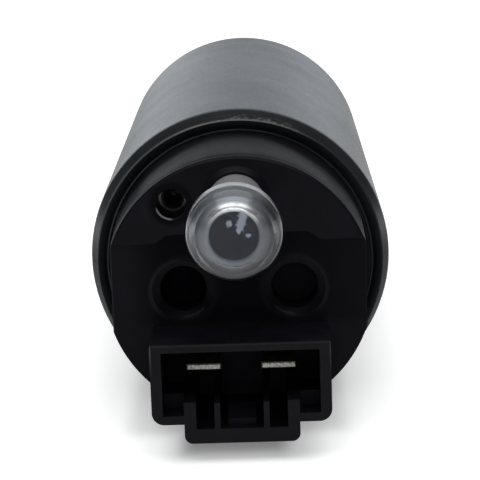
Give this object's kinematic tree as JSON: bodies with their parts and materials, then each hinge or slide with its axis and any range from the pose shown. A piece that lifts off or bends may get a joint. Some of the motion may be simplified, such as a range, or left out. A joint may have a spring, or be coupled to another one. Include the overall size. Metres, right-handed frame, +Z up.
{
  "type": "in-tank fuel pump",
  "caption": "In-tank electric fuel pump: crimped round steel body, moulded end cap with blade connector, barbed outlet under a clear cap, and an inlet nozzle at the far end.",
  "frame": {"origin": "on the pump's axis, half way along the steel shell", "axes": "the pump lies along Y with its inlet nozzle toward +Y and its outlet and connector toward -Y; +Z is up, with the outlet above the connector; X is across"},
  "size_m": [0.039, 0.1271, 0.039],
  "materials": {
    "coated_steel": "satin black coating over rolled steel",
    "black_moulding": "fine satin moulded plastic",
    "turned_metal": "turned and plated",
    "clear_plastic": "clear soft plastic, glossy",
    "tinned_blade": "tinned, bright",
    "rubber_seal": "moulded rubber",
    "spring_steel": "drawn wire",
    "valve_steel": "polished ball",
    "valve_plastic": "natural moulded plastic",
    "carbon": "pressed carbon",
    "copper_braid": "bare copper braid",
    "copper": "turned copper",
    "enamelled_wire": "enamelled copper wire",
    "flux_steel": "rolled steel, oiled",
    "ferrite": "sintered ferrite, ground faces",
    "core_steel": "stacked sheet steel",
    "hub_moulding": "brown moulded resin",
    "shaft_steel": "ground steel",
    "bush_bronze": "sintered bronze",
    "washer_plastic": "low friction plastic",
    "sintered_steel": "sintered steel, ground faces",
    "cast_aluminium": "die cast, machined faces"
  },
  "bodies": {
    "pump_body": {"shell": "coated_steel", "outlet_end_cap": "black_moulding", "outlet_nipple": "turned_metal", "terminal_positive": "tinned_blade", "terminal_negative": "tinned_blade", "end_cap_seal": "rubber_seal", "inlet_seal": "rubber_seal", "check_valve_spring": "spring_steel", "relief_valve_sleeve": "turned_metal", "relief_valve_spring": "spring_steel", "brush_lead_positive": "copper_braid", "brush_lead_negative": "copper_braid", "brush_spring_positive": "spring_steel", "brush_spring_negative": "spring_steel", "flux_ring": "flux_steel", "magnet_upper": "ferrite", "magnet_lower": "ferrite", "magnet_clip_right": "spring_steel", "magnet_clip_left": "spring_steel", "front_bush": "bush_bronze", "rear_bush": "bush_bronze", "front_thrust_washer": "washer_plastic", "rear_thrust_washer": "washer_plastic", "rotor_pin": "shaft_steel", "rotor_housing": "sintered_steel", "port_plate": "cast_aluminium", "dowel_pins": "shaft_steel", "inlet_body": "cast_aluminium"},
    "armature": {"armature_core": "core_steel", "armature_windings": "enamelled_wire", "commutator_segments": "copper", "commutator_hub": "hub_moulding", "armature_shaft": "shaft_steel", "drive_coupling": "valve_plastic", "inner_rotor": "sintered_steel"},
    "driven_rotor": {"outer_rotor": "sintered_steel"},
    "positive_brush": {"brush_positive": "carbon"},
    "negative_brush": {"brush_negative": "carbon"},
    "check_poppet": {"check_valve_poppet": "valve_plastic"},
    "relief_ball": {"relief_valve_ball": "valve_steel"},
    "clear_cap": {"dust_cap": "clear_plastic"}
  },
  "joints": [
    {"name": "rotor_spin", "type": "hinge", "parent": "pump_body", "child": "armature", "pos_m": [0, 0, 0], "axis": [0, 1, 0], "continuous": true},
    {"name": "outer_rotor_spin", "type": "hinge", "parent": "pump_body", "child": "driven_rotor", "pos_m": [0.00135, 0, 0], "axis": [0, 1, 0], "continuous": true},
    {"name": "positive_brush_slide", "type": "slide", "parent": "pump_body", "child": "positive_brush", "axis": [0, -1, 0], "range_m": [0, 0.003], "stiffness_N_per_m": 60, "deforming": ["brush_spring_positive", "brush_lead_positive"]},
    {"name": "negative_brush_slide", "type": "slide", "parent": "pump_body", "child": "negative_brush", "axis": [0, -1, 0], "range_m": [0, 0.003], "stiffness_N_per_m": 60, "deforming": ["brush_spring_negative", "brush_lead_negative"]},
    {"name": "check_valve_lift", "type": "slide", "parent": "pump_body", "child": "check_poppet", "axis": [0, -1, 0], "range_m": [0, 0.0015], "stiffness_N_per_m": 40, "deforming": ["check_valve_spring"]},
    {"name": "relief_valve_lift", "type": "slide", "parent": "pump_body", "child": "relief_ball", "axis": [0, -1, 0], "range_m": [0, 0.001], "stiffness_N_per_m": 400, "deforming": ["relief_valve_spring"]},
    {"name": "dust_cap_pull", "type": "slide", "parent": "pump_body", "child": "clear_cap", "axis": [0, -1, 0], "range_m": [0, 0.02]}
  ],
  "couplings": [
    {"joint": "outer_rotor_spin", "follows": "rotor_spin", "ratio": 0.85714}
  ]
}
